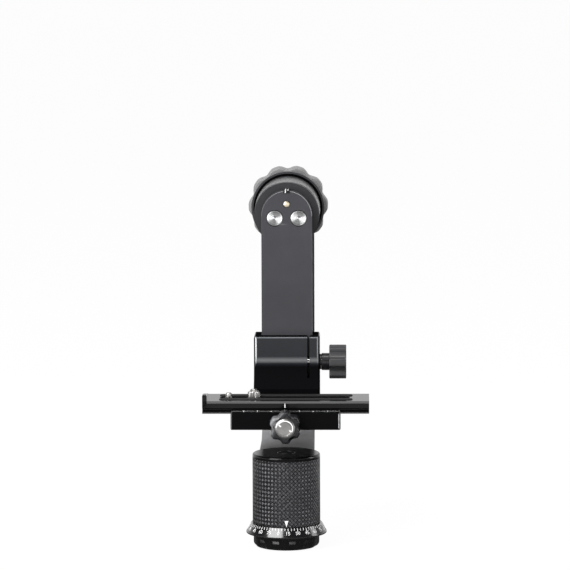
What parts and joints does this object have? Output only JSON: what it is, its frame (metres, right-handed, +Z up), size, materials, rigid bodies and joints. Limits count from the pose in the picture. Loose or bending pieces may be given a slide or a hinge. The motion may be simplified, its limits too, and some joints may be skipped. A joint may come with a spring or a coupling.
{
  "type": "gimbal tripod head",
  "caption": "Side-mount gimbal head: panning base with a degree ring, J-shaped frame, free-swinging arm on a tilt hub, and a sliding cradle that clamps a quick-release plate.",
  "frame": {"origin": "centre of the base's bottom face, where the pan axis meets it, at the mouth of the tripod thread", "axes": "+Z up along the pan axis, +X to the right as seen from the lens plate's side, +Y to the rear along the tilt axis, from the plate toward the upright"},
  "size_m": [0.12, 0.1717, 0.2649],
  "materials": {
    "black_anodised": "black anodised, satin to gloss",
    "lock_ring_black": "black anodised, glossy",
    "scale_black": "black anodised with a printed white degree scale",
    "brass": "turned brass",
    "bearing_steel": "ground and polished bearing steel",
    "steel": "turned stainless steel",
    "black_screw": "black oxide steel",
    "friction": "pressed friction lining",
    "carbon": "lacquered woven carbon fibre",
    "knob_black": "glossy black moulded knob",
    "satin_grey": "dark grey anodised, satin",
    "frame_grey": "grey anodised, satin",
    "knob_grey": "grey moulded knob, satin",
    "turned_aluminium": "turned bare aluminium",
    "rubber": "soft black rubber"
  },
  "bodies": {
    "base": {"base_core": "black_anodised", "thread_insert": "brass", "scale_ring": "scale_black", "brake_pins": "steel", "brake_disc": "friction", "pan_inner_races": "bearing_steel", "pan_spacer": "steel", "spindle_nut": "steel"},
    "pan_lock": {"pan_lock_ring": "lock_ring_black"},
    "frame": {"pan_housing": "black_anodised", "pan_outer_races": "bearing_steel", "pan_balls": "bearing_steel", "carbon_sleeve": "carbon", "base_cap": "black_anodised", "arm_foot": "frame_grey", "upright_arm": "frame_grey", "foot_screws": "black_screw", "upright_screws": "black_screw", "hub_housing": "black_anodised", "hub_screws": "black_screw", "tilt_outer_races": "bearing_steel", "tilt_balls": "bearing_steel", "tilt_friction_disc": "friction"},
    "tilt_lock": {"tilt_knob": "knob_grey", "tilt_knob_insert": "brass", "pressure_pad": "brass", "tilt_knob_cap": "knob_grey"},
    "swing": {"tilt_shaft": "steel", "tilt_flange": "black_anodised", "tilt_inner_races": "bearing_steel", "tilt_spacer": "steel", "shaft_nut": "steel", "swing_arm": "satin_grey", "arm_bolts": "steel", "brass_dowel": "brass", "arm_stop": "black_anodised", "arm_stop_screw": "black_screw"},
    "cradle": {"cradle_block": "black_anodised", "clamp_base": "black_anodised", "clamp_base_screws": "black_screw", "cradle_washer": "black_anodised"},
    "cradle_lock": {"cradle_knob": "knob_black", "cradle_clamp_screw": "steel"},
    "jaw": {"moving_jaw": "black_anodised", "jaw_guide_pins": "steel"},
    "clamp_lock": {"clamp_knob": "knob_black", "clamp_knob_cap": "turned_aluminium", "clamp_screw": "steel"},
    "plate": {"lens_plate": "black_anodised", "rubber_strips": "rubber", "plate_stop_screws": "steel"},
    "carrier": {"screw_carrier": "steel", "pin_plug": "steel", "pin_spring": "steel"},
    "screw": {"camera_screw": "steel"},
    "pin": {"anti_twist_pin": "steel"}
  },
  "joints": [
    {"name": "pan", "type": "hinge", "parent": "base", "child": "frame", "pos_m": [0, 0, 0.03], "axis": [0, 0, 1], "continuous": true},
    {"name": "pan_lock_turn", "type": "hinge", "parent": "base", "child": "pan_lock", "pos_m": [0, 0, 0.005], "axis": [0, 0, 1], "range_deg": [0, 60]},
    {"name": "tilt", "type": "hinge", "parent": "frame", "child": "swing", "pos_m": [0, 0.08, 0.2356], "axis": [0, 1, 0], "continuous": true},
    {"name": "tilt_lock_turn", "type": "hinge", "parent": "frame", "child": "tilt_lock", "pos_m": [0, 0.12, 0.2356], "axis": [0, 1, 0], "range_deg": [0, 180]},
    {"name": "cradle_slide", "type": "slide", "parent": "swing", "child": "cradle", "axis": [0, 0, 1], "range_m": [0, 0.055]},
    {"name": "cradle_lock_turn", "type": "hinge", "parent": "cradle", "child": "cradle_lock", "pos_m": [0.03, 0.0382, 0.1293], "axis": [1, 0, 0], "range_deg": [0, 360]},
    {"name": "jaw_slide", "type": "slide", "parent": "cradle", "child": "jaw", "axis": [0, -1, 0], "range_m": [0, 0.004]},
    {"name": "clamp_knob_turn", "type": "hinge", "parent": "jaw", "child": "clamp_lock", "pos_m": [0, -0.035, 0.0931], "axis": [0, -1, 0], "range_deg": [0, 1440]},
    {"name": "plate_slide", "type": "slide", "parent": "cradle", "child": "plate", "axis": [1, 0, 0], "range_m": [-0.0135, 0.0135]},
    {"name": "carrier_slide", "type": "slide", "parent": "plate", "child": "carrier", "axis": [1, 0, 0], "range_m": [-0.0011, 0.058]},
    {"name": "camera_screw_turn", "type": "hinge", "parent": "carrier", "child": "screw", "pos_m": [-0.0232, 0, 0.107], "axis": [0, 0, 1], "continuous": true},
    {"name": "pin_press", "type": "slide", "parent": "carrier", "child": "pin", "axis": [0, 0, -1], "range_m": [0, 0.0028], "stiffness_N_per_m": 150, "springref_m": -0.003, "deforming": ["pin_spring"]}
  ],
  "couplings": [
    {"joint": "clamp_knob_turn", "follows": "jaw_slide", "rad_per_m": 6283}
  ]
}
